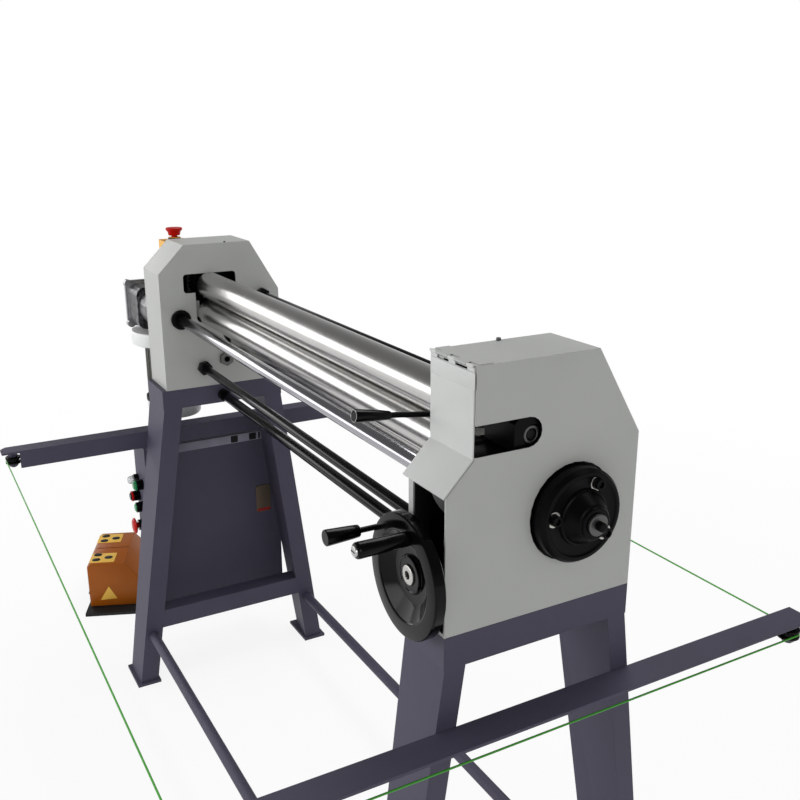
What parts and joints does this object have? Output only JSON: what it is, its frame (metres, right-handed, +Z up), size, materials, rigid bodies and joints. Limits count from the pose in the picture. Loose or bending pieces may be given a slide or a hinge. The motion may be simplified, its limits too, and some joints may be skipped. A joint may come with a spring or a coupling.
{
  "type": "powered slip roll machine",
  "caption": "Floor-standing sheet-metal slip roll: chromed rolls between plate housings on splayed stands, with a gear motor, handwheel, levers, trip wire and foot pedal.",
  "frame": {"origin": "on the floor, under the middle of the whole object's bounding box", "axes": "+X along the rolls towards the handwheel end, -Y towards the operator, +Z up"},
  "size_m": [2.2174, 1.096, 1.247],
  "materials": {
    "grey_paint": "fine textured light grey paint",
    "flap_paint": "smooth pale grey paint",
    "slate_paint": "fine textured slate blue paint",
    "chrome": "polished",
    "steel": "machined",
    "black_oxide": "black oxide, satin",
    "black_plastic": "glossy black",
    "cast_aluminium": "die-cast, matt",
    "motor_paint": "grey paint",
    "fan_paint": "near-white paint",
    "yellow_plastic": "satin yellow",
    "red_plastic": "satin red",
    "green_plastic": "satin green",
    "clear_plastic": "clear lens",
    "orange_paint": "orange paint",
    "green_wire": "green plastic-coated wire",
    "plate_silver": "bare plate, dull"
  },
  "bodies": {
    "frame": {"stand_far": "slate_paint", "stand_near": "slate_paint", "tie_tube_front": "slate_paint", "tie_tube_rear": "slate_paint", "near_housing": "grey_paint", "far_housing": "grey_paint", "far_back_plate": "grey_paint", "tie_rod_front": "black_oxide", "tie_rod_rear": "black_oxide", "tie_rod_low": "black_oxide", "front_bar": "chrome", "bar_flange_far": "black_oxide", "bar_flange_near": "black_oxide", "hex_bush": "steel", "rear_bearing_near": "black_oxide", "gearbox": "cast_aluminium", "motor": "motor_paint", "fan_cover": "fan_paint", "cabinet": "slate_paint", "rating_plate": "plate_silver", "lamp_power": "clear_plastic", "estop_box": "yellow_plastic", "arm_far": "slate_paint", "arm_near": "slate_paint", "trip_wire": "green_wire", "pedal_base": "black_plastic", "pedal_hood": "orange_paint"},
    "flap": {"flap_cover": "flap_paint"},
    "top_carriage": {"top_bearing_near": "black_oxide", "top_bearing_far": "black_oxide"},
    "top_roll_body": {"top_roll": "chrome", "top_gear": "steel"},
    "upper_lever_body": {"upper_lever": "black_oxide", "upper_lever_grip": "black_plastic"},
    "lower_carriage": {"lower_bearing_near": "black_oxide", "lower_bearing_far": "black_oxide"},
    "lower_roll_body": {"lower_roll": "chrome", "lower_gear": "steel"},
    "lower_lever_body": {"lower_lever": "black_oxide", "lower_lever_grip": "black_plastic"},
    "drive": {"drive_shaft": "steel"},
    "rear_carriers": {"rear_carrier_near": "steel", "rear_carrier_far": "steel", "hub_flange": "black_oxide"},
    "rear_roll_body": {"rear_roll": "chrome"},
    "handwheel_body": {"handwheel": "black_plastic", "handwheel_shaft": "steel"},
    "handle": {"handle_grip": "black_plastic"},
    "door": {"cabinet_door": "slate_paint"},
    "start_button": {"button_start": "green_plastic"},
    "jog_button": {"button_jog": "green_plastic"},
    "stop_button": {"button_stop": "red_plastic"},
    "panel_stop_button": {"button_panel_stop": "red_plastic"},
    "estop_head": {"estop_button": "red_plastic"},
    "pulley_1": {"pulley_far_front": "black_plastic"},
    "pulley_2": {"pulley_far_rear": "black_plastic"},
    "pulley_3": {"pulley_near_front": "black_plastic"},
    "pulley_4": {"pulley_near_rear": "black_plastic"},
    "right_treadle": {"treadle_right": "black_plastic"},
    "left_treadle": {"treadle_left": "black_plastic"}
  },
  "joints": [
    {"name": "flap_hinge", "type": "hinge", "parent": "frame", "child": "flap", "pos_m": [0.98574, -0.1216, 1.2252], "axis": [-1, 0, 0], "range_deg": [0, 110]},
    {"name": "top_roll_swing", "type": "hinge", "parent": "frame", "child": "top_carriage", "pos_m": [-0.38026, -0.023, 1.117], "axis": [0, 0, -1], "range_deg": [0, 2.5]},
    {"name": "top_roll_spin", "type": "hinge", "parent": "top_carriage", "child": "top_roll_body", "pos_m": [0, -0.023, 1.117], "axis": [1, 0, 0], "continuous": true},
    {"name": "upper_lever_turn", "type": "hinge", "parent": "top_carriage", "child": "upper_lever_body", "pos_m": [0.91074, -0.08, 1.122], "axis": [-1, 0, 0], "range_deg": [-10, 80]},
    {"name": "lower_roll_lift", "type": "slide", "parent": "frame", "child": "lower_carriage", "axis": [0, 0, 1], "range_m": [0, 0.0015]},
    {"name": "lower_roll_spin", "type": "hinge", "parent": "lower_carriage", "child": "lower_roll_body", "pos_m": [0, -0.024, 1.047], "axis": [1, 0, 0], "continuous": true},
    {"name": "lower_lever_turn", "type": "hinge", "parent": "frame", "child": "lower_lever_body", "pos_m": [0.89274, -0.125, 0.963], "axis": [-1, 0, 0], "range_deg": [0, 40]},
    {"name": "drive_spin", "type": "hinge", "parent": "frame", "child": "drive", "pos_m": [-0.47, -0.096, 1.03222], "axis": [1, 0, 0], "continuous": true},
    {"name": "rear_roll_lift", "type": "hinge", "parent": "frame", "child": "rear_carriers", "pos_m": [0.98574, 0.047, 0.994], "axis": [1, 0, 0], "range_deg": [0, 138]},
    {"name": "rear_roll_spin", "type": "hinge", "parent": "rear_carriers", "child": "rear_roll_body", "pos_m": [0.29874, 0.05577, 0.97602], "axis": [1, 0, 0], "continuous": true},
    {"name": "handwheel_turn", "type": "hinge", "parent": "frame", "child": "handwheel_body", "pos_m": [0.97974, 0, 0.925], "axis": [0, 1, 0], "range_deg": [0, 5520]},
    {"name": "handle_spin", "type": "hinge", "parent": "handwheel_body", "child": "handle", "pos_m": [0.99674, -0.235, 0.989], "axis": [0, 1, 0], "continuous": true},
    {"name": "door_hinge", "type": "hinge", "parent": "frame", "child": "door", "pos_m": [-0.59256, 0.2, 0.435], "axis": [0, 0, -1], "range_deg": [0, 110]},
    {"name": "start_press", "type": "slide", "parent": "frame", "child": "start_button", "axis": [0, 1, 0], "range_m": [0, 0.005], "stiffness_N_per_m": 500, "springref_m": -0.001},
    {"name": "jog_press", "type": "slide", "parent": "frame", "child": "jog_button", "axis": [0, 1, 0], "range_m": [0, 0.005], "stiffness_N_per_m": 500, "springref_m": -0.001},
    {"name": "stop_press", "type": "slide", "parent": "frame", "child": "stop_button", "axis": [0, 1, 0], "range_m": [0, 0.005], "stiffness_N_per_m": 500, "springref_m": -0.001},
    {"name": "panel_stop_press", "type": "slide", "parent": "frame", "child": "panel_stop_button", "axis": [0, 1, 0], "range_m": [0, 0.005], "stiffness_N_per_m": 500, "springref_m": -0.001},
    {"name": "estop_press", "type": "slide", "parent": "frame", "child": "estop_head", "axis": [0, 0, -1], "range_m": [0, 0.005], "stiffness_N_per_m": 800, "springref_m": -0.002},
    {"name": "pulley_far_front_spin", "type": "hinge", "parent": "frame", "child": "pulley_1", "pos_m": [-0.49856, -0.52, 0.678], "axis": [0, 0, 1], "continuous": true},
    {"name": "pulley_far_rear_spin", "type": "hinge", "parent": "frame", "child": "pulley_2", "pos_m": [-0.49856, 0.52, 0.678], "axis": [0, 0, 1], "continuous": true},
    {"name": "pulley_near_front_spin", "type": "hinge", "parent": "frame", "child": "pulley_3", "pos_m": [1.06604, -0.52, 0.678], "axis": [0, 0, 1], "continuous": true},
    {"name": "pulley_near_rear_spin", "type": "hinge", "parent": "frame", "child": "pulley_4", "pos_m": [1.06604, 0.52, 0.678], "axis": [0, 0, 1], "continuous": true},
    {"name": "right_treadle_press", "type": "hinge", "parent": "frame", "child": "right_treadle", "pos_m": [-0.88397, -0.16541, 0.032], "axis": [0.9252, -0.3795, 0], "range_deg": [0, 10], "stiffness_Nm_per_rad": 6, "springref_deg": -11.46},
    {"name": "left_treadle_press", "type": "hinge", "parent": "frame", "child": "left_treadle", "pos_m": [-0.99268, -0.12082, 0.032], "axis": [0.9252, -0.3795, 0], "range_deg": [0, 10], "stiffness_Nm_per_rad": 6, "springref_deg": -11.46}
  ],
  "couplings": [
    {"joint": "top_roll_spin", "follows": "lower_roll_spin", "ratio": -1},
    {"joint": "drive_spin", "follows": "lower_roll_spin", "ratio": -0.90909},
    {"joint": "lower_lever_turn", "follows": "lower_roll_lift", "rad_per_m": 465.4},
    {"joint": "handwheel_turn", "follows": "rear_roll_lift", "ratio": 40}
  ]
}
